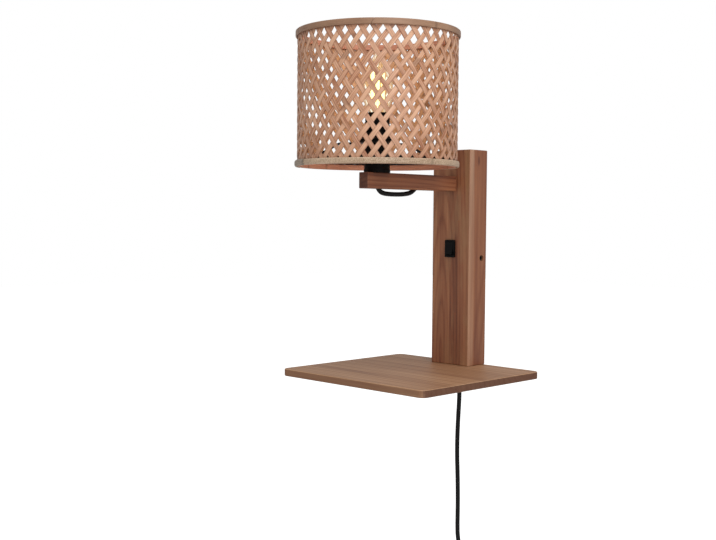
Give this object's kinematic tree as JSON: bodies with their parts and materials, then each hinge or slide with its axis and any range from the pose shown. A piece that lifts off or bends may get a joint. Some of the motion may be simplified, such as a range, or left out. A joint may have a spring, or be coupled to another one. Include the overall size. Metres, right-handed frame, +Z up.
{
  "type": "wall lamp with shelf",
  "caption": "Wooden wall lamp: a column with a shelf at its foot, an arm with an upright bulb in a woven bamboo drum shade, a rocker switch and a cord with plug.",
  "frame": {"origin": "centre of the wall bracket's two screw holes, on the wall, at half the column's height", "axes": "+Y into the wall, so the lamp stands out towards -Y; +X to the right of someone who faces the lamp; +Z up"},
  "size_m": [0.222, 0.255, 0.7785],
  "materials": {
    "wood": "oiled reddish brown wood",
    "bamboo": "peeled bamboo, warm tan",
    "pale_bamboo": "pale grey-beige bamboo hoop",
    "black_plastic": "black moulded plastic",
    "black_cord": "black sheathed cord",
    "black_steel": "black painted steel wire",
    "zinc_steel": "zinc plated steel",
    "brass": "plain brass",
    "white_plastic": "white moulded plastic",
    "insulation": "brown wire insulation",
    "glass": "clear lamp glass",
    "filament": "yellow coated LED filament",
    "nickel": "nickel plated brass"
  },
  "bodies": {
    "lamp": {"column": "wood", "arm": "wood", "arm_screw": "zinc_steel", "shelf": "wood", "shelf_screws": "zinc_steel", "wall_bracket": "zinc_steel", "bracket_screws": "black_steel", "threaded_nipple": "brass", "lampholder_cap": "black_plastic", "lampholder_sleeve": "black_plastic", "contact_block": "white_plastic", "screw_shell": "brass", "centre_contact": "brass", "shade_ring_nut": "black_plastic", "shade_carrier": "black_steel", "top_hoop_outer": "bamboo", "top_hoop_inner": "bamboo", "bottom_hoop_outer": "pale_bamboo", "bottom_hoop_inner": "bamboo", "strips_leaning_right": "bamboo", "strips_leaning_left": "bamboo", "bulb_glass": "glass", "bulb_screw_cap": "nickel", "bulb_contact": "black_plastic", "bulb_stem": "glass", "bulb_filaments": "filament", "switch_housing": "black_plastic", "switch_terminals": "brass", "arm_cable": "black_cord", "connector_block": "white_plastic", "holder_wires": "insulation", "switch_wires": "insulation", "column_lead": "black_cord", "cord_clamp": "white_plastic", "clamp_screws": "zinc_steel", "mains_cord": "black_cord", "cord_coil": "black_cord", "cord_tail": "black_cord", "cord_tie": "black_cord", "plug_body": "black_plastic", "plug_pins": "nickel"},
    "rocker": {"switch_rocker": "black_plastic"}
  },
  "joints": [
    {"name": "rocker_tilt", "type": "hinge", "parent": "lamp", "child": "rocker", "pos_m": [0, -0.0335, 0.0112], "axis": [1, 0, 0], "range_deg": [0, 16]}
  ]
}
